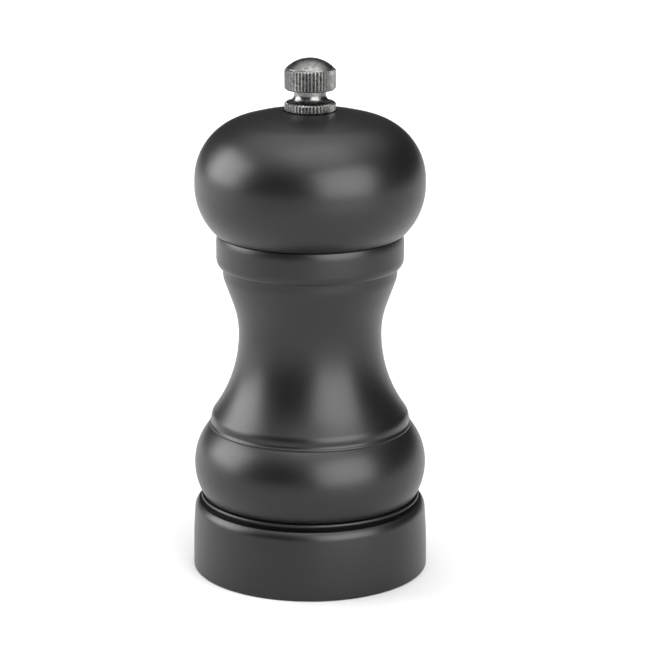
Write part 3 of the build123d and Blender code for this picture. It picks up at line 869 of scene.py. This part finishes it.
# Head. A bun turned from the same beech, lacquered like the body. The spigot under it and the hole
# through it stay bare. The nut sits in a shallow seat on its crown.
head_low, head_high = (corner * 1000 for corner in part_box("head"))
head_r = head_high.x
head_lower_curve = 16.1
head_lower_z = 96.5
head_upper_curve = 15.1
head_upper_z = 98.0
head_top = 114.95
head_rim_edge = 0.9
spigot_r = 15.3
shaft_hole_r = 3.9
nut_seat_r = 6.4
nut_seat_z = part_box("nut_washer")[0].z * 1000

crown_drop = head_top - head_upper_z
shoulder_offset = head_r - head_upper_curve
crown_square = shoulder_offset**2 + crown_drop**2 - head_upper_curve**2
crown_curve = crown_square / (2 * (crown_drop - head_upper_curve))
crown_z = head_top - crown_curve
crown_angle = degrees(np.arctan2(head_upper_z - crown_z, shoulder_offset))
seat_angle = degrees(np.arccos(nut_seat_r / crown_curve))
rim_rise = head_lower_z - seam_z - head_rim_edge
rim_angle = degrees(np.arcsin(rim_rise / head_lower_curve))
side_arc = arc(head_r - head_lower_curve, head_lower_z, head_lower_curve, -rim_angle, 0)
crown_arc = arc(0, crown_z, crown_curve, crown_angle, seat_angle)
head_outline = np.vstack([
    side_arc,
    arc(shoulder_offset, head_upper_z, head_upper_curve, 0, crown_angle),
    crown_arc,
    eased(
        (*crown_arc[-1], 0),
        (nut_seat_r, nut_seat_z, 0.1),
        (shaft_hole_r, nut_seat_z, 0.3),
        (shaft_hole_r, head_low.z, 0.4),
        (spigot_r, head_low.z, 0.6),
        (spigot_r, seam_z, 0.2),
        (side_arc[0, 0] - head_rim_edge, seam_z, 0.35),
        (*side_arc[0], 0),
    ),
])
middle = (head_outline[:-1] + head_outline[1:]) / 2
in_hole = middle[:, 0] < shaft_hole_r + spray_margin
unsprayed = (middle[:, 0] < spigot_r + spray_margin) & ((middle[:, 1] < seam_z) | in_hole)
head = make_piece(
    "turned_head", [turned(head_outline)], [lacquer, beech],
    parts=np.repeat(unsprayed[:, None], lathe_rounds, 1),
)
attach(head, "head")
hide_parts("head")

# Head drive plate. A steel disc with a square hole, screwed under the head's spigot. The hole fits the
# square shaft, so that the head turns it.
drive_low, drive_high = (corner * 1000 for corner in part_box("head_drive_plate"))
drive_grid = sheet_metal(
    square_hole(square_half, square_corner, 288), round_hole(drive_high.x, 288),
    drive_high.z - drive_low.z, steps=40,
)
drive_grid[..., 2] += (drive_low.z + drive_high.z) / 2
drive_plate = make_piece("drive_disc", [drive_grid], [zinc])
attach(drive_plate, "head")
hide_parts("head_drive_plate")

# Drive plate screws. Three pan-head wood screws, evenly spaced, driven up through the drive plate into
# the spigot.
trio_low, trio_high = (corner * 1000 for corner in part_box("drive_plate_screws"))
trio_head_r = 2.2
trio_circle = trio_high.x - trio_head_r
trio_shank_r = 1.1
trio_pitch = 0.9
drive_screws = make_piece(
    "drive_screw_trio",
    [
        hanging_screw(
            trio_circle * cos(radians(angle)), trio_circle * sin(radians(angle)), drive_low.z, trio_head_r,
            drive_low.z - trio_low.z, trio_shank_r, trio_high.z - drive_low.z, trio_pitch,
        )
        for angle in (0, 120, 240)
    ],
    [zinc],
)
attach(drive_screws, "head")
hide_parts("drive_plate_screws")


# Nut washer. A ring of black fibre in the head's seat, that keeps the nut off the lacquer.
def black_fibre():
    """Vulcanised fibre: matt black, faintly fuzzy."""
    material, add, link, stretched = finish_material("black_fibre", (0.012, 0.012, 0.012), 0.8)
    fuzz = add("TexNoise", [("Vector", stretched((1, 1, 1)))], Scale=3000, Detail=4)
    shade = add("MapRange", [("Value", fuzz.outputs["Fac"])], To_Min=0.008, To_Max=0.02)
    link(shade.outputs["Result"], "Base Color")
    nap = add("Bump", [("Height", fuzz.outputs["Fac"])], Strength=0.3, Distance=0.00005)
    link(nap.outputs["Normal"], "Normal")
    return material


fibre_low, fibre_high = (corner * 1000 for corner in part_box("nut_washer"))
fibre_hole_r = 2.9
fibre_grid = sheet_metal(
    round_hole(fibre_hole_r), round_hole(fibre_high.x), fibre_high.z - fibre_low.z, edge=0.1
)
fibre_grid[..., 2] += (fibre_low.z + fibre_high.z) / 2
nut_washer = make_piece("fibre_washer", [fibre_grid], [black_fibre()])
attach(nut_washer, "nut")
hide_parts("nut_washer")


# Finial nut. Turned from one bar to a flange, a cove and a domed grip, straight knurled on both bands
# and plated with dark nickel. Its blind hole is threaded for the shaft.
def dark_nickel():
    """Dark nickel over turned steel: a smoky grey mirror with rings left by the tool and dull specks."""
    material, add, link, stretched = finish_material("dark_nickel", (0.2, 0.2, 0.195), 0.2, metallic=1.0)
    tool = add("TexNoise", [("Vector", stretched((0.15, 0.15, 1)))], Scale=4200, Detail=2)
    specks = add("TexNoise", [("Vector", stretched((1, 1, 1)))], Scale=1100, Detail=5, Roughness=0.7)
    shade = add("ValToRGB", [("Fac", specks.outputs["Fac"])])
    shade.color_ramp.elements[0].position = 0.3
    shade.color_ramp.elements[0].color = (0.09, 0.09, 0.09, 1)
    shade.color_ramp.elements[1].position = 0.7
    shade.color_ramp.elements[1].color = (0.26, 0.26, 0.255, 1)
    link(shade.outputs["Color"], "Base Color")
    dull = add("MapRange", [("Value", specks.outputs["Fac"])], To_Min=0.16, To_Max=0.38)
    link(dull.outputs["Result"], "Roughness")
    rings = add("Bump", [("Height", tool.outputs["Fac"])], Strength=0.1, Distance=0.00003)
    link(rings.outputs["Normal"], "Normal")
    return material


nut_low, nut_high = (corner * 1000 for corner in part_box("finial_nut"))
nut_r = nut_high.x
nut_edge = 0.35
flange_height = 2.2
band_bottom = 5.3
band_height = 5.0
flange_top = nut_low.z + flange_height
neck_r = 3.85
cove_r = 1.9
grip_bottom = nut_low.z + band_bottom
grip_top = grip_bottom + band_height
dome_rim_r = nut_r - nut_edge
dome_height = nut_high.z - grip_top
dome_curve = (dome_rim_r**2 + dome_height**2) / (2 * dome_height)
dome_angle = degrees(np.arctan2(dome_curve - dome_height, dome_rim_r))
nut_bore_r = 2.55
nut_bore_depth = 8.8
drill_point = 1.2
bore_chamfer = 0.4
nut_bore_top = nut_low.z + nut_bore_depth
knurl_teeth = 44
knurl_depth = 0.4
knurl_land = 0.25

nut_outline = np.vstack([
    eased(
        (0, nut_bore_top + drill_point, 0),
        (nut_bore_r, nut_bore_top, 0),
        (nut_bore_r, nut_low.z + bore_chamfer, 0.1),
        (nut_bore_r + bore_chamfer, nut_low.z, 0.1),
        (nut_r - nut_edge, nut_low.z, 0.1),
        (nut_r, nut_low.z + nut_edge, 0.1),
        (nut_r, flange_top - nut_edge, 0.1),
        (neck_r + cove_r, flange_top, 0),
    ),
    arc(neck_r + cove_r, flange_top + cove_r, cove_r, 270, 180),
    eased(
        (neck_r, flange_top + cove_r, 0),
        (neck_r, grip_bottom, 0.3),
        (nut_r - nut_edge, grip_bottom, 0.1),
        (nut_r, grip_bottom + nut_edge, 0.1),
        (nut_r, grip_top - nut_edge, 0.1),
        (dome_rim_r, grip_top, 0.15),
        (dome_rim_r * 0.97, grip_top + 0.1, 0),
    ),
    arc(0, nut_high.z - dome_curve, dome_curve, dome_angle + 2, 90),
])
columns_per_tooth = 10
turn = np.linspace(0, 2 * np.pi, knurl_teeth * columns_per_tooth + 1)[None, :]
tooth = np.abs((turn * knurl_teeth / (2 * np.pi)) % 1 - 0.5) * 2
knurl = nut_r - knurl_depth * np.clip((tooth - knurl_land) / (1 - knurl_land), 0, 1)
reach = np.minimum(nut_outline[:, :1], knurl)
nut_grid = np.stack([reach * np.cos(turn), reach * np.sin(turn), nut_outline[:, 1:] + 0 * turn], 2)
nut = make_piece("knurled_nut", [nut_grid], [dark_nickel()], sharp=25)
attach(nut, "nut")
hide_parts("finial_nut")
